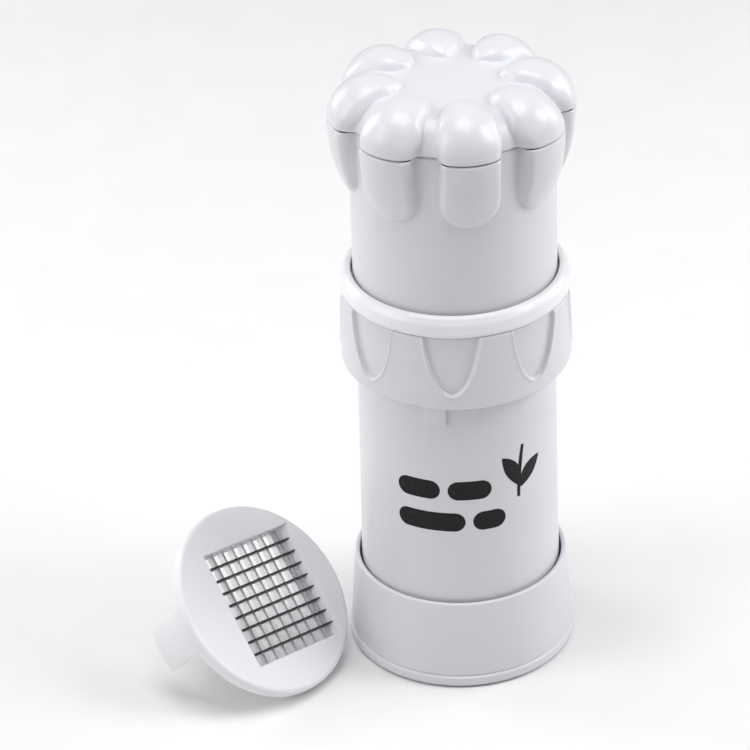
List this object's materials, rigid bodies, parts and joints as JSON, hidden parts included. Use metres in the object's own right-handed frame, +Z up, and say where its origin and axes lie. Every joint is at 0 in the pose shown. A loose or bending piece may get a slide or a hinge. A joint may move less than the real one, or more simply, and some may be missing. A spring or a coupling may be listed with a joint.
{
  "type": "garlic press",
  "caption": "Upright twist-action garlic press: lobed knob drives a studded pusher through a blade insert into a tube standing in a base cup; a spare grid insert lies beside it.",
  "frame": {"origin": "middle of the base cup's underside, on the table", "axes": "+Z up along the axis of the press, -Y towards the front with the index pad, +X to the right"},
  "size_m": [0.1256, 0.0813, 0.1854],
  "materials": {
    "white_shell": "glossy moulded white",
    "white_inner": "satin moulded white",
    "white_frame": "satin moulded white",
    "blade_steel": "ground stainless strip",
    "screw_steel": "zinc plated",
    "drive_plastic": "natural acetal",
    "seal_rubber": "translucent grey silicone"
  },
  "bodies": {
    "base": {"base_cup": "white_shell", "cup_seal": "seal_rubber"},
    "tube": {"container": "white_shell", "slicer_frame": "white_frame", "slicer_clamp": "white_inner", "slicer_blades": "blade_steel", "slicer_screws": "screw_steel"},
    "chamber": {"magazine": "white_inner", "magazine_gasket": "seal_rubber"},
    "lock_ring": {"collar": "white_shell", "retaining_ring": "white_shell"},
    "knob": {"knob_sleeve": "white_shell", "top_cap": "white_shell", "cap_screws": "screw_steel", "spindle": "drive_plastic", "spindle_washer": "screw_steel", "spindle_screw": "screw_steel", "thrust_washer": "drive_plastic"},
    "pusher": {"plunger_stem": "white_inner", "spindle_nut": "drive_plastic", "pusher_plate": "white_inner", "pusher_seal": "seal_rubber", "pusher_screws": "screw_steel"},
    "spare_insert": {"dicer_frame": "white_frame", "dicer_clamp": "white_inner", "dicer_blades_long": "blade_steel", "dicer_blades_cross": "blade_steel", "dicer_screws": "screw_steel"}
  },
  "joints": [
    {"name": "tube_lift", "type": "slide", "parent": "base", "child": "tube", "axis": [0, 0, 1], "range_m": [0, 0.04]},
    {"name": "head_lift", "type": "slide", "parent": "tube", "child": "chamber", "axis": [0, 0, 1], "range_m": [0, 0.045]},
    {"name": "collar_turn", "type": "hinge", "parent": "chamber", "child": "lock_ring", "pos_m": [0, 0, 0.107], "axis": [0, 0, 1], "range_deg": [-30, 0]},
    {"name": "knob_turn", "type": "hinge", "parent": "chamber", "child": "knob", "pos_m": [0, 0, 0.16], "axis": [0, 0, 1], "range_deg": [-958, 0]},
    {"name": "pusher_press", "type": "slide", "parent": "chamber", "child": "pusher", "axis": [0, 0, -1], "range_m": [0, 0.0213]},
    {"name": "spare_lift", "type": "slide", "parent": "base", "child": "spare_insert", "axis": [0, 0, 1], "range_m": [0, 0.06]}
  ],
  "couplings": [
    {"joint": "pusher_press", "follows": "knob_turn", "m_per_rad": -0.0012732}
  ]
}
